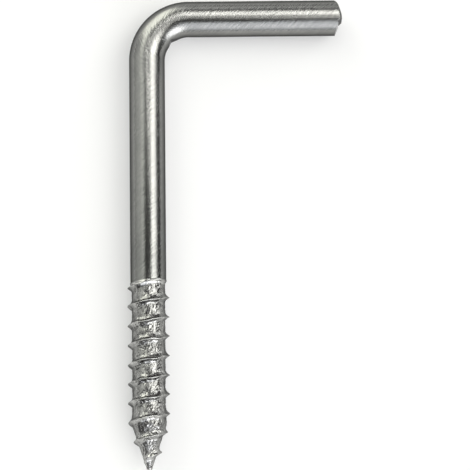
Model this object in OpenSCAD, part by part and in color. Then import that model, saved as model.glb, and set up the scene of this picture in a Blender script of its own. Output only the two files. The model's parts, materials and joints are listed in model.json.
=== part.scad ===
// Square-bend screw hook, made from one length of plated steel wire.
// The wire has a straight arm, a right-angle bend, a plain shank and a right-hand
// wood thread that is rolled onto the shank and runs down to a gimlet point.
// The hook lies flat: arm towards +X, point towards -Y, thread crests at z = 0.
// Its origin is at the middle of its outline, on the surface that it lies on.

/* [Wire] */
// Diameter of the plain wire
wire_d = 3.8; // [2.6:0.1:5]

/* [Hook] */
// Overall length, from the top of the arm to the tip of the point
hook_l = 50; // [42:0.5:80]
// Reach, from the far side of the shank to the nose of the arm
hook_reach = 22.7; // [14:0.1:40]
// Radius of the inside of the bend
bend_in_r = 2.55; // [1.2:0.05:6]

/* [Bend crease] */
// Angle round the bend, counted from the shank, at which the crease lies
crease_angle = 49; // [20:1:70]
// Depth of the crease that the bending tool left inside the bend
crease_depth = 0.18; // [0.05:0.01:0.4]
// Width of the crease at its mouth
crease_w = 0.9; // [0.4:0.05:1.5]

/* [Arm end] */
// Radius of the end face's curve, seen from above
face_r = 3.3; // [3:0.1:8]
// Rounding of the end face's upper and lower edge
rim_r = 0.15; // [0.1:0.01:0.3]
// Rounding that the shears rolled over the outer corner
roll_r = 0.8; // [0.5:0.05:1]
// How far from the arm's axis, towards the inner side, the rolled part is centred
roll_shift = 1; // [0.6:0.1:1.5]
// Radius of the shallow dome that runs into the rolled corner
roll_dome_r = 6; // [5:0.5:12]
// How far the top of that dome would stand out past the nose
roll_top = 0.16; // [0.1:0.01:0.2]
// How far below the arm's axis the sheared part of the end face starts
shear_drop = 0.42; // [0.1:0.02:0.8]
// How far the sheared part stands back from the nose
shear_depth = 0.38; // [0.2:0.02:0.6]
// Slope of the sheared part, away from square
shear_angle = 20; // [0:1:35]
// Depth of the nick at the foot of the shear step
nick_depth = 0.14; // [0.04:0.01:0.3]
// Width of the nick
nick_w = 0.36; // [0.1:0.02:0.6]

/* [Thread] */
// Length of the thread, measured from the tip
thread_l = 20.6; // [14:0.1:30]
// Distance between neighbouring crests
pitch = 2.05; // [1.8:0.01:3]
// How far the crests stand above the plain wire
crest_rise = 0.325; // [0.15:0.005:0.6]
// How far the root lies below the surface of the plain wire
root_drop = 0.03; // [0.02:0.01:0.4]
// Width of the flat along the crest
crest_flat = 0.06; // [0.02:0.01:0.12]
// Width of the steep flank that faces the point
lead_flank_w = 0.43; // [0.2:0.01:0.6]
// Width of the hollow flank that faces the arm
trail_flank_w = 0.86; // [0.4:0.01:1]
// Length over which the ridge runs out at its upper end
run_out_l = 1.2; // [0.4:0.1:3]
// Height above the tip at which the first crest faces the arm's side
crest_start = 1.875; // [1:0.025:3]

/* [Point] */
// Length of the tapered point
point_l = 4.85; // [3:0.05:8]
// Radius of the blunt tip, where it meets the taper
tip_r = 0.32; // [0.1:0.02:0.6]
// Length of the rounding of the tip
tip_round_l = 0.3; // [0.1:0.05:0.5]
// Height above the tip at which the ridge starts
ridge_start = 0.6; // [0.5:0.05:1]
// Length over which the ridge grows to its full height on the taper
ridge_grow_l = 1.3; // [0.8:0.1:1.8]
// Height of the ridge where it has grown, on the taper
point_ridge_h = 0.48; // [0.2:0.02:0.7]

/* [Hidden] */

wire_r = wire_d / 2;
bend_r = bend_in_r + wire_r;
crest_r = wire_r + crest_rise;
root_r = wire_r - root_drop;
ridge_h = crest_r - root_r;

// Places in the hook's own plane: the tip is at y = 0 and the shank's axis at x = 0
arm_y = hook_l - wire_r;
nose_x = hook_reach - wire_r;
bend_y = arm_y - bend_r;
mid_x = (nose_x - crest_r) / 2;

// The plain shank starts just above the thread, and the threaded end reaches into it
shank_gap = 0.1;
shank_lap = 0.3;
shank_y = thread_l + shank_gap;
core_top = shank_y + shank_lap;

// The nose starts where its cuts have all left the wire; its flat end lies just past the face
nose_l = face_r - sqrt(pow(face_r, 2) - pow(wire_r, 2)) + 0.4;
nose_past = 0.05;

// The rolled corner and its dome are arcs that touch each other, a little outside the wire
roll_edge = wire_r + roll_shift + 0.02;
roll_turn = asin((roll_edge - roll_r) / (roll_dome_r - roll_r));
arc_steps = 6;

// Cross-section of the ridge: [distance from its middle, share of its height], point side first
lead_power = 1.5;
trail_power = 2.4;
ridge_section = concat(
    [for (s = [1, 0.6, 0.25]) [-crest_flat / 2 - s * lead_flank_w, pow(1 - s, lead_power)]],
    [for (side = [-1, 1]) [side * crest_flat / 2, 1]],
    [for (s = [0.12, 0.3, 0.55, 1]) [crest_flat / 2 + s * trail_flank_w, pow(1 - s, trail_power)]]
);

// The threaded end is a skin of rows that climb round the wire, met by upright columns
columns = 36;
turn_rows = len(ridge_section);
tip_rings = 3;
row_gap = 0.03;
all_rows = [-turn_rows : turn_rows * ceil(core_top / pitch + 2)];

$fn = 96;

// Height of the middle of the ridge that row j belongs to, at column i
function crest_y(i, j) = crest_start + pitch * (floor(j / turn_rows) - i / columns);

// Cross-section entry of row j
function row_entry(j) = ridge_section[j - turn_rows * floor(j / turn_rows)];

// Height above the tip of row j at column i
function row_y(i, j) = crest_y(i, j) + row_entry(j)[0];

// Radius of the wire under the ridge, cylindrical above the taper
function core_r(y) =
    min(root_r, tip_r + (root_r - tip_r) * (y - tip_round_l) / (point_l - tip_round_l));

// Height of the ridge along the thread
function ridge_rise(y) = lookup(y, [
    [ridge_start, 0],
    [ridge_start + ridge_grow_l, point_ridge_h],
    [point_l, ridge_h],
    [thread_l - run_out_l, ridge_h],
    [thread_l, 0]
]);

function row_r(i, j) = core_r(row_y(i, j)) + ridge_rise(crest_y(i, j)) * row_entry(j)[1];

// A point at radius r and height y on column i
function spot(i, r, y) =
    let (turn = 360 * i / columns)
    [r * cos(turn), y, r * sin(turn)];

// First and last row on each column; the last column is the first one, a turn further on
first_row = [for (i = [0 : columns])
    min([for (j = all_rows) if (row_y(i, j) > tip_round_l + row_gap) j])];
last_row = [for (i = [0 : columns])
    max([for (j = all_rows) if (row_y(i, j) < core_top - row_gap) j])];

// Each column holds a foot on the tip's rounding, its rows, and a head inside the shank
function column_size(i) = last_row[i] - first_row[i] + 3;
column_at = [for (i = 0, n = 0; i <= columns; n = n + column_size(i), i = i + 1) n];
tip_at = column_at[columns];
tip_end = tip_at + columns * (tip_rings - 1);

function foot(i) = column_at[i % columns];
function head(i) = foot(i) + column_size(i % columns) - 1;
function knot(i, j) =
    i == columns ? knot(0, j - turn_rows) : column_at[i] + 1 + j - first_row[i];
function tip_knot(i, k) =
    k == 0 ? foot(i) : k == tip_rings ? tip_end : tip_at + (k - 1) * columns + i % columns;

skin_points = concat(
    [for (i = [0 : columns - 1]) each concat(
        [spot(i, core_r(tip_round_l), tip_round_l)],
        [for (j = [first_row[i] : last_row[i]]) spot(i, row_r(i, j), row_y(i, j))],
        [spot(i, root_r, core_top)]
    )],
    [for (k = [1 : tip_rings - 1]) each
        let (turn = 90 * k / tip_rings)
        [for (i = [0 : columns - 1]) spot(i, tip_r * cos(turn), tip_round_l * (1 - sin(turn)))]],
    [[0, 0, 0], [0, core_top, 0]]
);

// Rows that two neighbouring columns share make quads, and the rest fan out to close the ends
skin_faces = [for (i = [0 : columns - 1]) each concat(
    [for (k = [0 : tip_rings - 2]) each [
        [tip_knot(i, k), tip_knot(i, k + 1), tip_knot(i + 1, k + 1)],
        [tip_knot(i, k), tip_knot(i + 1, k + 1), tip_knot(i + 1, k)]]],
    [[tip_knot(i, tip_rings - 1), tip_end, tip_knot(i + 1, tip_rings - 1)]],
    [[foot(i), foot(i + 1), knot(i + 1, first_row[i + 1])]],
    [[foot(i), knot(i + 1, first_row[i + 1]), knot(i, first_row[i])]],
    [if (first_row[i + 1] > first_row[i]) for (j = [first_row[i] : first_row[i + 1] - 1])
        [knot(i, j), knot(i + 1, first_row[i + 1]), knot(i, j + 1)]],
    [for (j = [first_row[i + 1] : last_row[i] - 1]) each [
        [knot(i, j), knot(i + 1, j), knot(i + 1, j + 1)],
        [knot(i, j), knot(i + 1, j + 1), knot(i, j + 1)]]],
    [if (last_row[i + 1] > last_row[i]) for (j = [last_row[i] : last_row[i + 1] - 1])
        [knot(i, last_row[i]), knot(i + 1, j), knot(i + 1, j + 1)]],
    [[knot(i, last_row[i]), knot(i + 1, last_row[i + 1]), head(i + 1)]],
    [[knot(i, last_row[i]), head(i + 1), head(i)]],
    [[head(i), head(i + 1), tip_end + 1]]
)];

// The rolled wood thread and its gimlet point
module threaded_end() {
    polyhedron(points = skin_points, faces = skin_faces, convexity = 10);
}

// The plain part of the shank, from the thread up to the bend
module plain_shank() {
    translate([0, shank_y, 0])
        rotate([-90, 0, 0]) cylinder(h = bend_y - shank_y, r = wire_r);
}

// The quarter turn between the shank and the arm
module bend() {
    translate([bend_r, bend_y, 0])
        rotate([0, 0, 90]) rotate_extrude(angle = 90) translate([bend_r, 0]) circle(r = wire_r);
}

// The straight arm, up to where its nose starts
module arm() {
    translate([bend_r, arm_y, 0])
        rotate([0, 90, 0]) cylinder(h = nose_x - nose_l - bend_r, r = wire_r);
}

// The arm's end: plain wire with a slightly rounded edge, a face that is curved in the
// hook's plane, and a corner that is rolled over on the outer side
module arm_nose() {
    intersection() {
        translate([nose_x - nose_l, arm_y, 0]) rotate([0, 90, 0]) wire_end();
        translate([nose_x - face_r, arm_y, -wire_d]) cylinder(h = 2 * wire_d, r = face_r);
        translate([nose_x + roll_top, arm_y - roll_shift, 0]) rotate([0, 90, 0]) rolled_corner();
    }
}

// The wire's end, square but for the rounding of its edge
module wire_end() {
    top = nose_l + nose_past;
    rim = [for (k = [0 : arc_steps])
        let (a = 90 * k / arc_steps)
        [wire_r - rim_r + rim_r * cos(a), top - rim_r + rim_r * sin(a)]];
    rotate_extrude() polygon(concat([[0, 0], [wire_r, 0]], rim, [[0, top]]));
}

// The dome and the rolled corner, with their top at z = 0
module rolled_corner() {
    middle = roll_dome_r - (roll_dome_r - roll_r) * cos(roll_turn);
    corner = [for (k = [0 : arc_steps])
        let (a = (90 - roll_turn) * k / arc_steps)
        [roll_edge - roll_r + roll_r * cos(a), roll_r * sin(a) - middle]];
    dome = [for (k = [arc_steps - 1 : -1 : 0])
        let (a = roll_turn * k / arc_steps)
        [roll_dome_r * sin(a), roll_dome_r * (cos(a) - 1)]];
    rotate_extrude() polygon(concat([[0, -wire_d], [roll_edge, -wire_d]], corner, dome));
}

// What the shears took from the lower part of the nose: a step, a nick and a sloping face
module shear_cut() {
    low = wire_r + shear_depth;
    step_y = -shear_drop - nick_w / 2;
    face_y = -shear_drop - nick_w;
    translate([nose_x, arm_y, 0])
        linear_extrude(height = 2 * low, center = true)
            polygon([
                [low, -shear_drop],
                [-shear_depth / 2, -shear_drop],
                [-shear_depth - nick_depth, step_y],
                [-shear_depth, face_y],
                [-shear_depth - (low + face_y) * tan(shear_angle), -low],
                [low, -low]
            ]);
}

// The crease that crosses the inside of the bend
module bend_crease() {
    translate([bend_r, bend_y, 0])
        rotate([0, 0, 180 - crease_angle])
            linear_extrude(height = wire_d, center = true)
                polygon([
                    [bend_in_r + crease_depth, 0],
                    [bend_in_r - crease_depth, crease_w],
                    [bend_in_r - crease_depth, -crease_w]
                ]);
}

module screw_hook() {
    color("silver")
        translate([-mid_x, -hook_l / 2, crest_r])
            difference() {
                union() {
                    threaded_end();
                    plain_shank();
                    bend();
                    arm();
                    arm_nose();
                }
                shear_cut();
                bend_crease();
            }
}

screw_hook();
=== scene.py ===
import json
import math

import bpy
from mathutils import Matrix, Vector


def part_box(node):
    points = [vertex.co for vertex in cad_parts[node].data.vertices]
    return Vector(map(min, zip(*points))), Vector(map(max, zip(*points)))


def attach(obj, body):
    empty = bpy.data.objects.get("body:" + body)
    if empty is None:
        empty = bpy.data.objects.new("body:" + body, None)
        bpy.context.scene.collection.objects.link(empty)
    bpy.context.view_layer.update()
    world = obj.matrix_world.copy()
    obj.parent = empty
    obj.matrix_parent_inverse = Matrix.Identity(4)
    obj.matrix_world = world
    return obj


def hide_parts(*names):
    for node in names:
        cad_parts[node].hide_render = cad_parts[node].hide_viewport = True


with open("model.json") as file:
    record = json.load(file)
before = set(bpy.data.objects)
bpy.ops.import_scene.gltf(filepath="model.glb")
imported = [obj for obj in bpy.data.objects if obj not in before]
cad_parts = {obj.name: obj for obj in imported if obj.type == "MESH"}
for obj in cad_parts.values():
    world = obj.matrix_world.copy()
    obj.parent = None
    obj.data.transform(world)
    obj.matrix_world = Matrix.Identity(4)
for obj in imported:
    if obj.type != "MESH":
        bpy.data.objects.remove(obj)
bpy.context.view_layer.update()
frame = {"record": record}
mm = 0.001
print("frame loaded")


class Signal:
    # One output of a node. Used in an expression, it adds the Math nodes of that expression.
    def __init__(self, tree, socket=None):
        self.tree = tree
        self.socket = socket

    def node(self, kind, settings=None, inputs=None, output=0):
        # Settings come first, because some of them change the sockets
        made = self.tree.nodes.new(kind)
        for name, value in (settings or {}).items():
            setattr(made, name, value)
        for name, value in (inputs or {}).items():
            if isinstance(value, Signal):
                self.tree.links.new(value.socket, made.inputs[name])
            else:
                made.inputs[name].default_value = value
        return Signal(self.tree, made.outputs[output] if made.outputs else None)

    def math(self, operation, *values):
        return self.node("ShaderNodeMath", {"operation": operation}, dict(enumerate(values)))

    def __add__(self, other):
        return self.math("ADD", self, other)

    def __radd__(self, other):
        return self.math("ADD", other, self)

    def __sub__(self, other):
        return self.math("SUBTRACT", self, other)

    def __rsub__(self, other):
        return self.math("SUBTRACT", other, self)

    def __mul__(self, other):
        return self.math("MULTIPLY", self, other)

    def __rmul__(self, other):
        return self.math("MULTIPLY", other, self)

    def __truediv__(self, other):
        return self.math("DIVIDE", self, other)

    def __pow__(self, other):
        return self.math("POWER", self, other)

    def root(self):
        return self.math("SQRT", self.most(0.0))

    def least(self, other):
        return self.math("MINIMUM", self, other)

    def most(self, other):
        return self.math("MAXIMUM", self, other)

    def softLeast(self, other, blend):
        return self.math("SMOOTH_MIN", self, other, blend)

    def ramp(self, low, high, kind="LINEAR"):
        # 0 below low, 1 above high; low may be the larger one
        settings = {"interpolation_type": kind, "clamp": True}
        return self.node("ShaderNodeMapRange", settings, {0: self, 1: low, 2: high, 3: 0.0, 4: 1.0})

    def between(self, low, high):
        return self.node("ShaderNodeClamp", None, {0: self, 1: low, 2: high})

    def vector(self, x, y, z):
        return self.node("ShaderNodeCombineXYZ", None, {0: x, 1: y, 2: z})

    def axis(self, index):
        return self.node("ShaderNodeSeparateXYZ", None, {0: self}, index)

    def stretched(self, x, y, z):
        return self.node("ShaderNodeVectorMath", {"operation": "MULTIPLY"}, {0: self, 1: (x, y, z)})

    def noise(self, scale, seed, detail=2.0, rough=0.5):
        values = {"Vector": self, "W": seed, "Scale": scale, "Detail": detail, "Roughness": rough}
        return self.node("ShaderNodeTexNoise", {"noise_dimensions": "4D"}, values)

    def mixed(self, first, second):
        # This signal is the factor between two colours
        return self.node("ShaderNodeMix", {"data_type": "RGBA"}, {0: self, 6: first, 7: second}, 2)


# The wire, in millimetres, with y = 0 at the tip of the point. Wobble is a share of the pitch.
armMount = next(m for m in frame["record"]["mounts"] if m["name"] == "arm")
hookLow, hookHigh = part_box("screw_hook")
hook = {
    "Wire Radius": armMount["dims"]["r_mm"],
    "Crest Radius": (hookHigh.z - hookLow.z) / mm / 2,
    "Root Radius": armMount["dims"]["r_mm"] - 0.03,
    "Bend Inside": 2.55,
    "Thread Length": 20.6,
    "Pitch": 2.05,
    "First Crest": 1.875,
    "Crest Gap": 0.7,
    "Lead Flank": 0.43,
    "Trail Flank": 0.86,
    "Run Out": 1.2,
    "Point Length": 4.85,
    "Tip Radius": 0.32,
    "Tip Rounding": 0.3,
    "Ridge Start": 0.6,
    "Ridge Grow": 1.3,
    "Point Ridge": 0.48,
    "Crease Depth": 0.26,
    "Crease Width": 1.2,
    "End Radius": 40.0,
    "Rim Radius": 0.15,
    "Face Radius": 3.3,
    "Roll Radius": 0.8,
    "Roll Shift": 1.0,
    "Roll Dome Radius": 6.0,
    "Roll Top": 0.16,
    "Shear Drop": 0.42,
    "Shear Depth": 0.38,
    "Nick Depth": 0.14,
    "Nick Width": 0.36,
    "Shoulder Gap": 0.72,
    "Shoulder Slant": 0.15,
    "Shoulder Length": 0.3,
    "Shoulder Drop": 0.09,
    "Shoulder Lip": 0.05,
    "Tear Depth": 0.09,
    "Wobble": 0.24,
    "Seed": 3.0,
}
# The grid's rings and columns, lengths that only the grid needs, and the shape of the flanks
hookShape = {
    "columns": 128,
    "rings": {"thread": 520, "shank": 30, "bend": 72, "arm": 26, "cuff": 28, "nose": 36},
    "cuff": 1.1,
    "threadLap": 0.3,
    "pastNose": 0.05,
    "pastWire": 0.02,
    "rootAbove": 0.2,
    "rootBelow": 1.8,
    "taperBlend": 0.12,
    "creaseBlend": 0.03,
    "creaseStart": 0.01,
    "creaseTurn": math.radians(49),
    "shearSlope": math.tan(math.radians(20)),
    "leadShare": 0.3,
    "leadPower": 1.5,
    "trailPower": 3.2,
    "crestCap": 0.97,
    "crestBlend": 0.1,
    "crestGain": 1.04,
    "runOutShare": 0.6,
}
# How rolling left the thread: noise scales, each tear's share, and where metal is rubbed bright
wear = {
    "ridgeStretch": 0.3,
    "wobbleScale": 1.3,
    "dentScale": 2.2,
    "dentDepth": 0.16,
    "scaleScale": 2.9,
    "scaleTwist": 0.3,
    "scaleStretch": 0.6,
    "scaleShare": 0.5,
    "pitScale": 4.2,
    "pitShare": 0.4,
    "evenShare": 0.1,
    "onRidge": 0.2,
    "onTip": 0.3,
    "lipLength": 0.22,
    "dropLength": 2.0,
    "rubbedAbove": 0.1,
    "rubbedFull": 0.3,
    "rubbedEnd": 0.45,
    "rubbedPower": 8.0,
    "rubbedRidge": 0.6,
}


def hookPlaces():
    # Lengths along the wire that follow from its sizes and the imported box
    size = hook
    wire = size["Wire Radius"]
    bend = size["Bend Inside"] + wire
    length = (hookHigh.y - hookLow.y) / mm
    nose = (hookHigh.x - hookLow.x) / mm - size["Crest Radius"]
    rimTurn = math.asin((wire - size["Rim Radius"]) / (size["End Radius"] - size["Rim Radius"]))
    endDrop = size["End Radius"] * (1 - math.cos(rimTurn))
    rimBack = endDrop + size["Rim Radius"] * math.cos(rimTurn) - hookShape["pastNose"]
    bendStart = length - wire - bend
    threadEnd = size["Thread Length"] + hookShape["threadLap"]
    rimArc = size["Rim Radius"] * (math.pi / 2 - rimTurn)
    lengths = {
        "thread": threadEnd,
        "shank": bendStart - threadEnd,
        "bend": bend * math.pi / 2,
        "arm": nose - rimBack - bend - hookShape["cuff"],
        "cuff": hookShape["cuff"],
        "nose": rimArc + size["End Radius"] * rimTurn,
    }
    rollOff = wire + size["Roll Shift"] + hookShape["pastWire"] - size["Roll Radius"]
    rollTurn = math.asin(rollOff / (size["Roll Dome Radius"] - size["Roll Radius"]))
    return {"bend": bend, "bendStart": bendStart, "nose": nose, "rimTurn": rimTurn,
            "rimArc": rimArc, "lengths": lengths, "rollOff": rollOff, "rollTurn": rollTurn}


def plainWire(s, size, place, ring):
    # Distance along the wire and over the nose: each stretch has its own ring spacing
    along = None
    first = 0
    for name, count in hookShape["rings"].items():
        part = (ring - first).between(0.0, count) * (place["lengths"][name] / count)
        along = part if along is None else along + part
        first += count
    wireEnd = sum(place["lengths"].values()) - place["lengths"]["nose"]
    overRim = (along - wireEnd).between(0.0, place["rimArc"]) / size["Rim Radius"]
    overEnd = place["rimTurn"] - (along - wireEnd - place["rimArc"]).most(0.0) / size["End Radius"]
    rimSine = math.sin(place["rimTurn"])
    rimCosine = math.cos(place["rimTurn"])
    y = (along.least(wireEnd) + size["Rim Radius"] * s.math("SINE", overRim)
         + size["End Radius"] * (s.math("COSINE", overEnd) - rimCosine))
    plain = (size["Wire Radius"] - size["Rim Radius"] * (1 - s.math("COSINE", overRim))
             - size["End Radius"] * (rimSine - s.math("SINE", overEnd)))
    return y, plain


def pointedCore(size, y, plain):
    # The root under the thread, a taper and a rounded tip
    rootTop = size["Thread Length"] + hookShape["rootAbove"]
    rootFull = size["Thread Length"] - hookShape["rootBelow"]
    root = plain - y.ramp(rootTop, rootFull, "SMOOTHSTEP") * (size["Wire Radius"] - size["Root Radius"])
    slope = (size["Root Radius"] - size["Tip Radius"]) / (size["Point Length"] - size["Tip Rounding"])
    taper = size["Tip Radius"] + slope * (y - size["Tip Rounding"]).most(0.0)
    blunt = (1 - y / size["Tip Rounding"]).most(0.0)
    return taper.softLeast(root, hookShape["taperBlend"]) * (1 - blunt * blunt).root()


def threadRidge(s, size, y, turn):
    # A steep flank towards the point and a hollow one towards the arm
    around = s.vector(s.math("COSINE", turn), y * wear["ridgeStretch"], s.math("SINE", turn))
    wobble = (around.noise(wear["wobbleScale"], size["Seed"]) - 0.5) * size["Wobble"]
    leadShare = hookShape["leadShare"]
    lap = (y - size["First Crest"]) / size["Pitch"] + turn / (2 * math.pi) + wobble
    offset = (s.math("FRACT", lap + leadShare) - leadShare) * size["Pitch"]
    crestY = y - offset
    lastCrest = size["Thread Length"] - size["Crest Gap"]
    lead = 1 - (offset * -1 / size["Lead Flank"]).between(0.0, 1.0)
    fullHeight = crestY.ramp(lastCrest, lastCrest - size["Run Out"])
    trailWidth = size["Trail Flank"] * (0.5 + 0.5 * fullHeight)
    trail = 1 - (offset / trailWidth).between(0.0, 1.0)
    section = (lead ** hookShape["leadPower"]) * (trail ** hookShape["trailPower"])

    # Its height along the wire: it grows on the point, runs out at the top and has dents
    ridgeFull = size["Crest Radius"] - size["Root Radius"]
    runOutEnd = lastCrest - size["Run Out"] * hookShape["runOutShare"]
    onWire = ridgeFull * crestY.ramp(lastCrest, runOutEnd, "SMOOTHSTEP")
    growEnd = size["Ridge Start"] + size["Ridge Grow"]
    onPoint = (size["Point Ridge"] - ridgeFull) * crestY.ramp(size["Point Length"], growEnd)
    grown = crestY.ramp(size["Ridge Start"], growEnd)
    crest = section.softLeast(hookShape["crestCap"], hookShape["crestBlend"])
    dents = around.noise(wear["dentScale"], size["Seed"] + 3).ramp(0.6, 0.75)
    ridge = (onWire + onPoint) * grown * crest * (hookShape["crestGain"] - dents * wear["dentDepth"])
    rubbed = lead * (trail ** wear["rubbedPower"]) * fullHeight * wear["rubbedRidge"]
    return ridge, section, rubbed


def tornRoot(s, size, y, turn, section):
    # A small rolled shoulder, with torn metal below it: slanting scales and small pits
    wire = hook["Wire Radius"]
    shoulder = size["Thread Length"] - size["Shoulder Gap"]
    below = shoulder + size["Shoulder Slant"] * s.math("COSINE", turn) - y
    rolled = below.ramp(0.0, size["Shoulder Length"], "SMOOTHSTEP")
    lip = size["Shoulder Lip"] * below.ramp(-wear["lipLength"], 0.0, "SMOOTHSTEP") * (1 - rolled)
    offTaper = y.ramp(size["Point Length"], size["Point Length"] + wear["dropLength"])
    drop = size["Shoulder Drop"] * rolled * (1 - section) * offTaper
    twist = turn + y * wear["scaleTwist"]
    slanting = s.vector(s.math("COSINE", twist) * wire, y * wear["scaleStretch"],
                        s.math("SINE", twist) * wire)
    scales = slanting.noise(wear["scaleScale"], size["Seed"] + 1).ramp(0.42, 0.6)
    square = s.vector(s.math("COSINE", turn) * wire, y, s.math("SINE", turn) * wire)
    pits = square.noise(wear["pitScale"], size["Seed"] + 2).ramp(0.45, 0.7, "SMOOTHSTEP")
    offTip = y.ramp(size["Tip Rounding"], size["Point Length"] * 0.5)
    mix = wear["evenShare"] + scales * wear["scaleShare"] + pits * wear["pitShare"]
    tears = (mix * rolled * (wear["onTip"] + (1 - wear["onTip"]) * offTip)
             * (1 - section * (1 - wear["onRidge"])))
    relief = lip - drop - tears * size["Tear Depth"]
    rubbed = below.ramp(-wear["rubbedAbove"], 0.0) * below.ramp(wear["rubbedEnd"], wear["rubbedFull"])
    return relief, tears, rubbed


def creased(s, size, place, across, y, bendTurn):
    # Across points to the inside of the bend, where the bending tool left a crease. Before the
    # bend, the limit that the crease sets is far off.
    creaseOff = s.math("ABSOLUTE", bendTurn - hookShape["creaseTurn"]) * size["Bend Inside"]
    creaseSlope = size["Crease Depth"] * 2 / size["Crease Width"]
    limit = size["Wire Radius"] - size["Crease Depth"] + creaseOff * creaseSlope
    farOff = 9.0
    inBend = y.ramp(place["bendStart"] - hookShape["creaseStart"], place["bendStart"])
    return across.softLeast(limit + (1 - inBend) * farOff, hookShape["creaseBlend"])


def rolledFace(size, place, across, up):
    # How far back from the nose the bowed end face and its rolled outer corner lie
    bow = size["Face Radius"]
    bowBack = bow - (bow * bow - across * across).root()
    dome = size["Roll Dome Radius"]
    roll = size["Roll Radius"]
    aside = size["Roll Shift"] - across
    off = (aside * aside + up * up).root()
    join = dome * math.sin(place["rollTurn"])
    onDome = off.least(join)
    domeBack = dome - (dome * dome - onDome * onDome).root() - size["Roll Top"]
    onCorner = off.most(join) - place["rollOff"]
    cornerBack = roll * math.cos(place["rollTurn"]) - (roll * roll - onCorner * onCorner).root()
    return bowBack.most(domeBack + cornerBack)


def shearedFace(size, across):
    # How far back the sheared lower part lies: a step, a nick at its foot and the slanting face
    halfNick = size["Nick Width"] / 2
    nickSlope = size["Nick Depth"] / halfNick
    stepSlope = (size["Shear Depth"] / 2 + size["Nick Depth"]) / halfNick
    step = size["Shear Depth"] / 2 + (across - size["Shear Drop"]) * stepSlope
    nick = (size["Shear Depth"] + size["Nick Depth"]
            - (across - (size["Shear Drop"] + halfNick)) * nickSlope)
    faceTop = size["Shear Drop"] + size["Nick Width"]
    face = size["Shear Depth"] + (across - faceTop) * hookShape["shearSlope"]
    return step.least(nick.most(face))


def hookTree(finish):
    # A grid of rings and columns is rolled into the wire, threaded, pointed, cut and bent
    tree = bpy.data.node_groups.new("rolledWire", "GeometryNodeTree")
    for name in hook:
        tree.interface.new_socket(name=name, in_out="INPUT", socket_type="NodeSocketFloat")
    tree.interface.new_socket(name="Wire", in_out="OUTPUT", socket_type="NodeSocketGeometry")
    entry = tree.nodes.new("NodeGroupInput")
    size = {name: Signal(tree, entry.outputs[name]) for name in hook}
    place = hookPlaces()
    ringCount = sum(hookShape["rings"].values())
    s = Signal(tree)
    mesh = s.node("GeometryNodeMeshGrid", None, {
        "Size X": 1.0, "Size Y": 1.0,
        "Vertices X": hookShape["columns"] + 1, "Vertices Y": ringCount + 1})
    here = s.node("GeometryNodeInputPosition")
    turn = (0.5 - here.axis(0)) * (2 * math.pi)
    ring = (here.axis(1) + 0.5) * ringCount

    # The straight wire with its thread and point
    y, plain = plainWire(s, size, place, ring)
    ridge, section, rubbedRidge = threadRidge(s, size, y, turn)
    relief, tears, rubbedShoulder = tornRoot(s, size, y, turn, section)
    core = pointedCore(size, y, plain)
    radius = (core + ridge + relief).least(size["Crest Radius"])
    up = radius * s.math("SINE", turn)

    # The crease and the shears take metal off
    bendTurn = ((y - place["bendStart"]) / place["bend"]).between(0.0, math.pi / 2)
    across = creased(s, size, place, radius * s.math("COSINE", turn), y, bendTurn)
    past = (y - place["bendStart"] - place["lengths"]["bend"]).most(0.0)
    noseCut = shearedFace(size, across).most(rolledFace(size, place, across, up))
    past = past - (past + place["bend"] - (place["nose"] - noseCut)).most(0.0)

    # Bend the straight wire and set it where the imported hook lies
    reach = place["bend"] - across
    bentX = place["bend"] - reach * s.math("COSINE", bendTurn) + past
    bentY = y.least(place["bendStart"]) + reach * s.math("SINE", bendTurn)
    shiftX = hookLow.x / mm + hook["Crest Radius"]
    lifted = up + size["Crest Radius"]
    spot = s.vector((bentX + shiftX) * mm, (bentY + hookLow.y / mm) * mm, lifted * mm)

    marks = {"wirePlace": (s.vector(across, y, up), "FLOAT_VECTOR"), "tornShare": (tears, "FLOAT"),
             "rubbedShare": (rubbedRidge.most(rubbedShoulder), "FLOAT")}
    for name, (value, kind) in marks.items():
        settings = {"data_type": kind, "domain": "POINT"}
        values = {"Geometry": mesh, "Name": name, "Value": value}
        mesh = s.node("GeometryNodeStoreNamedAttribute", settings, values)
    mesh = s.node("GeometryNodeSetPosition", None, {"Geometry": mesh, "Position": spot})
    mesh = s.node("GeometryNodeMergeByDistance", None, {"Geometry": mesh, "Distance": 1e-6})
    mesh = s.node("GeometryNodeSetShadeSmooth", None, {"Geometry": mesh, "Shade Smooth": True})
    mesh = s.node("GeometryNodeRealizeInstances", None, {"Geometry": mesh})
    mesh = s.node("GeometryNodeSetMaterial", None, {"Geometry": mesh, "Material": finish})
    result = tree.nodes.new("NodeGroupOutput")
    tree.links.new(mesh.socket, result.inputs["Wire"])
    return tree


def grownMesh(name, tree, values):
    # Runs a node tree on an empty object and keeps the result as a plain mesh
    seedObject = bpy.data.objects.new(name + "Seed", bpy.data.meshes.new(name + "Seed"))
    bpy.context.scene.collection.objects.link(seedObject)
    modifier = seedObject.modifiers.new("grow", "NODES")
    modifier.node_group = tree
    for item in tree.interface.items_tree:
        if item.item_type == "SOCKET" and item.in_out == "INPUT":
            modifier[item.identifier] = values[item.name]
    grown = seedObject.evaluated_get(bpy.context.evaluated_depsgraph_get())
    mesh = bpy.data.meshes.new_from_object(grown)
    mesh.name = name
    seedObject.modifiers.remove(modifier)
    bpy.data.objects.remove(seedObject)
    piece = bpy.data.objects.new(name, mesh)
    bpy.context.scene.collection.objects.link(piece)
    return piece


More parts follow.
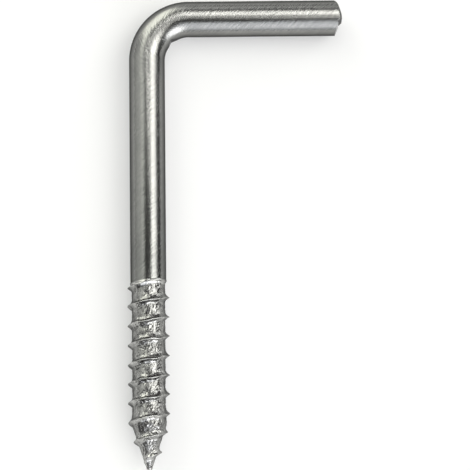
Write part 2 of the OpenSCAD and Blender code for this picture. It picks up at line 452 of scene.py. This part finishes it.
# The plating: colours, a thin grey film that darkens the wire's edges, depths in millimetres, and
# how the tip is rubbed: where along the wire that starts, where it is full, and its share
plate = {
    "bright": (0.89, 0.89, 0.861, 1.0),
    "dull": (0.583, 0.592, 0.575, 1.0),
    "torn": (0.73, 0.73, 0.713, 1.0),
    "tornDark": (0.38, 0.38, 0.371, 1.0),
    "rubbed": (0.76, 0.76, 0.741, 1.0),
    "edge": (0.2, 0.2, 0.2, 1.0),
    "film": (0.44, 0.44, 0.44, 1.0),
    "filmIor": 1.045,
    "filmTorn": 0.3,
    "filmRubbed": 0.25,
    "roughness": 0.14,
    "streakRoughness": 0.06,
    "tornGloss": 0.04,
    "streakDepth": 0.022,
    "grainDepth": 0.012,
    "tearDepth": 0.035,
    "streakScale": 5.5,
    "grainScale": 8.0,
    "tearScale": 2.8,
    "flakeScale": 3.4,
    "patchScale": 0.8,
    "twist": 0.5,
    "twistMiddle": 42.0,
    # Along the wire, where the colour starts to grow darker towards the thread and where it is fully darker
    "dullStart": 38.0,
    "dullFull": 22.0,
    "tipRubbed": (5.0, 1.5, 0.8),
}


def platedSteel():
    material = bpy.data.materials.new("platedSteel")
    material.use_nodes = True
    tree = material.node_tree
    tree.nodes.clear()
    s = Signal(tree)
    place = s.node("ShaderNodeAttribute", {"attribute_name": "wirePlace"}, None, "Vector")
    torn = s.node("ShaderNodeAttribute", {"attribute_name": "tornShare"}, None, "Fac")
    rubbed = s.node("ShaderNodeAttribute", {"attribute_name": "rubbedShare"}, None, "Fac")
    y = place.axis(1)

    # Drawing lines wind round the wire, one way below the middle of the twist and the other above
    angle = s.math("ABSOLUTE", y - plate["twistMiddle"]) * plate["twist"]
    wound = s.node("ShaderNodeVectorRotate", {"rotation_type": "Y_AXIS"}, {"Vector": place, "Angle": angle})
    streaks = wound.stretched(1.0, 0.25, 1.0).noise(plate["streakScale"], 1.0)
    grain = place.noise(plate["grainScale"], 2.0)
    patches = place.stretched(1.0, 0.35, 1.0).noise(plate["patchScale"], 3.0).ramp(0.35, 0.65)
    # Besides the random patches and streaks, the colour grows darker towards the thread
    towardsThread = y.ramp(plate["dullStart"], plate["dullFull"])
    toneShift = patches * 0.3 + streaks.ramp(0.35, 0.65) * 0.3 + towardsThread * 0.5
    colour = toneShift.mixed(plate["bright"], plate["dull"])

    # Torn metal in the thread, and metal rubbed bright on its ridges and at the tip
    flat = place.stretched(1.0, 0.5, 1.0)
    tears = flat.noise(plate["tearScale"], 4.0, 1.0, 0.45).ramp(0.38, 0.62, "SMOOTHSTEP")
    flakes = flat.noise(plate["flakeScale"], 5.0, 2.0, 0.6).ramp(0.36, 0.64)
    bare = torn.ramp(0.02, 0.12)
    colour = bare.mixed(colour, flakes.mixed(plate["tornDark"], plate["torn"]))
    tipTop, tipFull, tipShare = plate["tipRubbed"]
    bright = rubbed.ramp(0.05, 0.5).most(y.ramp(tipTop, tipFull) * tipShare)
    colour = bright.mixed(colour, plate["rubbed"])

    roughness = plate["roughness"] + streaks * plate["streakRoughness"] - torn * plate["tornGloss"]
    film = (1 - bare * plate["filmTorn"] - bright * plate["filmRubbed"]).most(0.0)
    height = (streaks * plate["streakDepth"] + grain * plate["grainDepth"]
              + tears * torn.ramp(0.0, 0.5) * plate["tearDepth"])
    bump = s.node("ShaderNodeBump", None, {"Strength": 1.0, "Distance": 1.0, "Height": height * mm})
    shader = s.node("ShaderNodeBsdfPrincipled", None, {
        "Base Color": colour, "Metallic": 1.0, "Roughness": roughness, "Normal": bump,
        "Specular Tint": plate["edge"], "Coat Weight": film, "Coat IOR": plate["filmIor"],
        "Coat Tint": plate["film"]})
    s.node("ShaderNodeOutputMaterial", None, {"Surface": shader})
    return material


def makeHook():
    tree = hookTree(platedSteel())
    piece = grownMesh("bentScrewWire", tree, hook)
    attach(piece, "root")
    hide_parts("screw_hook")
    return piece


wire = makeHook()
print("hook made:", len(wire.data.polygons), "faces")


studio = {
    "floorColour": (0.64, 0.64, 0.636, 1.0),
    "floorLift": (0.29, 0.29, 0.294, 1.0),
    "floorSize": 4.0,
    "lampDistance": 0.7,
    "overhead": (0.18, 0.18, 0.177, 1.0),
    "horizon": (0.14, 0.14, 0.14, 1.0),
    "horizonStart": 20.0,
    "cardColour": (0.1, 0.1, 0.1, 1.0),
    "cardCorners": 48,
}
# Soft panels painted on the sky, in this order: degrees from overhead towards +X and +Y,
# half its length and width in degrees, the share that is edge, how bright, its colour
panels = {
    "leftCorner": (-64, 36, 24, 18, 0.5, 0.69, (1.0, 1.0, 0.985)),
    "leftWall": (-46, 8, 48, 15, 0.45, 0.91, (0.99, 1.0, 0.955)),
    "backPanel": (-8, 72, 14, 14, 0.5, 1.1, (1.0, 1.0, 0.98)),
    "backWindow": (-33, 64, 15, 42, 0.5, 3.2, (0.99, 1.0, 0.91)),
    "backWing": (-48, 56, 18, 15, 0.5, 2.76, (0.99, 1.0, 0.91)),
    "frontPanel": (0, -55, 18, 31, 0.5, 1.47, (0.93, 0.95, 1.0)),
    "frontWindow": (40, -64, 29, 25, 0.35, 4.0, (0.98, 0.985, 1.0)),
    "shoulder": (4, 3, 14, 9, 0.4, 0.736, (1.0, 0.995, 0.97)),
    "upperBox": (3, 26.5, 9, 15, 0.4, 3.4, (1.0, 0.995, 0.955)),
    "mainBox": (38.5, 1, 21.5, 16, 0.42, 3.4, (1.0, 0.995, 0.955)),
    "boxTop": (38, 26, 15, 11, 0.4, 2.3, (1.0, 0.995, 0.955)),
    "boxFoot": (20, -6, 14, 9, 0.35, 2.76, (1.0, 0.995, 0.955)),
    "seam": (-8, 14, 4, 12, 0.5, 0.11, (1.0, 1.0, 1.0)),
    "farRight": (76, 42, 26, 22, 0.35, 3.2, (1.0, 1.0, 0.98)),
    "darkRight": (84, 2, 20, 26, 0.4, 0.03, (1.0, 1.0, 1.0)),
}
# Cards, in millimetres: x, y and z of the middle, half the length and width
cards = {
    "lensHood": (-10.2, 4.8, 60, 24, 15.5),
}
# The lamp in the middle of the main box: degrees as above, its width and height, how bright
lamps = {
    "boxLamp": (34, 2, 14, 14, 1.0, (1.0, 0.995, 0.96)),
}


def addLamp(name, towardsX, towardsY, width, height, bright, colour):
    # An area lamp's watts are its area times pi times how bright it looks
    far = studio["lampDistance"]
    lean = math.radians(math.hypot(towardsX, towardsY))
    compass = math.atan2(towardsY, towardsX)
    aside = math.sin(lean)
    direction = Vector((aside * math.cos(compass), aside * math.sin(compass), math.cos(lean)))
    light = bpy.data.lights.new(name, "AREA")
    light.shape = "ELLIPSE"
    light.size = 2 * far * math.tan(math.radians(width / 2))
    light.size_y = 2 * far * math.tan(math.radians(height / 2))
    light.energy = math.pi * bright * light.size * light.size_y * math.pi / 4
    light.color = colour
    lamp = bpy.data.objects.new(name, light)
    lamp.location = direction * far
    lamp.rotation_euler = direction.to_track_quat("Z", "Y").to_euler()
    lamp.visible_camera = False
    bpy.context.scene.collection.objects.link(lamp)


def addCard(name, x, y, z, halfLong, halfWide):
    # An oval dark card that only the metal sees, as it sees a lens hood close above it
    corners = studio["cardCorners"]
    rim = []
    for corner in range(corners):
        turn = 2 * math.pi * corner / corners
        rim.append(Vector((x + halfLong * math.cos(turn), y + halfWide * math.sin(turn), z)) * mm)
    mesh = bpy.data.meshes.new(name)
    mesh.from_pydata(rim, [], [tuple(range(corners))])
    card = bpy.data.objects.new(name, mesh)
    material = bpy.data.materials.new(name)
    material.use_nodes = True
    material.node_tree.nodes.clear()
    s = Signal(material.node_tree)
    shader = s.node("ShaderNodeBsdfDiffuse", None, {"Color": studio["cardColour"]})
    s.node("ShaderNodeOutputMaterial", None, {"Surface": shader})
    mesh.materials.append(material)
    card.visible_camera = False
    card.visible_diffuse = False
    card.visible_shadow = False
    bpy.context.scene.collection.objects.link(card)


def addFloor():
    half = studio["floorSize"] / 2
    mesh = bpy.data.meshes.new("floor")
    corners = [(-half, -half, 0), (half, -half, 0), (half, half, 0), (-half, half, 0)]
    mesh.from_pydata(corners, [], [(0, 1, 2, 3)])
    floor = bpy.data.objects.new("floor", mesh)
    floor.location.z = hookLow.z
    material = bpy.data.materials.new("paleFloor")
    material.use_nodes = True
    material.node_tree.nodes.clear()
    s = Signal(material.node_tree)
    # The camera and anything that mirrors it see the floor a little paler, so that it reads as white
    plain = s.node("ShaderNodeBsdfDiffuse", None, {"Color": studio["floorColour"]})
    lift = s.node("ShaderNodeEmission", None, {"Color": studio["floorLift"]})
    lifted = s.node("ShaderNodeAddShader", None, {0: plain, 1: lift})
    fromCamera = s.node("ShaderNodeLightPath", None, None, "Is Camera Ray")
    fromMetal = s.node("ShaderNodeLightPath", None, None, "Is Glossy Ray")
    fromGlass = s.node("ShaderNodeLightPath", None, None, "Is Transmission Ray")
    seen = fromCamera.most(fromMetal).most(fromGlass)
    shader = s.node("ShaderNodeMixShader", None, {0: seen, 1: plain, 2: lifted})
    s.node("ShaderNodeOutputMaterial", None, {"Surface": shader})
    mesh.materials.append(material)
    bpy.context.scene.collection.objects.link(floor)


def addSky():
    world = bpy.data.worlds.new("studioSky")
    bpy.context.scene.world = world
    world.use_nodes = True
    world.node_tree.nodes.clear()
    s = Signal(world.node_tree)
    direction = s.node("ShaderNodeTexCoord", None, None, "Generated")
    lean = s.math("ARCCOSINE", direction.axis(2)) * (180 / math.pi)
    level = (direction.axis(0) ** 2 + direction.axis(1) ** 2).root().most(0.0001)
    towardsX = lean * direction.axis(0) / level
    towardsY = lean * direction.axis(1) / level
    sky = lean.ramp(studio["horizonStart"], 90.0).mixed(studio["overhead"], studio["horizon"])
    for middleX, middleY, halfLong, halfWide, edge, bright, colour in panels.values():
        lengthwise = (towardsX - middleX) / halfLong
        sideways = (towardsY - middleY) / halfWide
        spread = (lengthwise * lengthwise + sideways * sideways).root()
        cover = spread.ramp(1 + edge, 1 - edge, "SMOOTHSTEP")
        sky = cover.mixed(sky, tuple(bright * part for part in colour) + (1.0,))
    shader = s.node("ShaderNodeBackground", None, {"Color": sky, "Strength": 1.0})
    s.node("ShaderNodeOutputWorld", None, {"Surface": shader})


def addStudio():
    addFloor()
    addSky()
    for name, card in cards.items():
        addCard(name, *card)
    for name, lamp in lamps.items():
        addLamp(name, *lamp)


addStudio()
print("studio made")


# The camera looks down on the hook from a little on the point's side
view = {
    "distance": 0.4,
    "elevation": 82.3,
    "roll": 0.55,
    "pixelsPerMm": 9.45,
    "imageWidth": 470,
    "sensor": 36.0,
    "aim": (-0.085, -0.13, 2.225),
}


def addCamera():
    data = bpy.data.cameras.new("camera")
    data.sensor_width = view["sensor"]
    data.lens = view["sensor"] * view["distance"] * view["pixelsPerMm"] / view["imageWidth"] / mm
    camera = bpy.data.objects.new("camera", data)
    lift = math.radians(view["elevation"])
    back = Vector((0, -math.cos(lift), math.sin(lift)))
    aim = Vector(view["aim"]) * mm
    turned = back.to_track_quat("Z", "Y").to_matrix()
    roll = Matrix.Rotation(math.radians(-view["roll"]), 3, "Z")
    camera.matrix_world = Matrix.Translation(aim + back * view["distance"]) @ (turned @ roll).to_4x4()
    bpy.context.scene.collection.objects.link(camera)
    bpy.context.scene.camera = camera


addCamera()
bpy.context.scene.view_settings.view_transform = "Standard"
print("camera set")
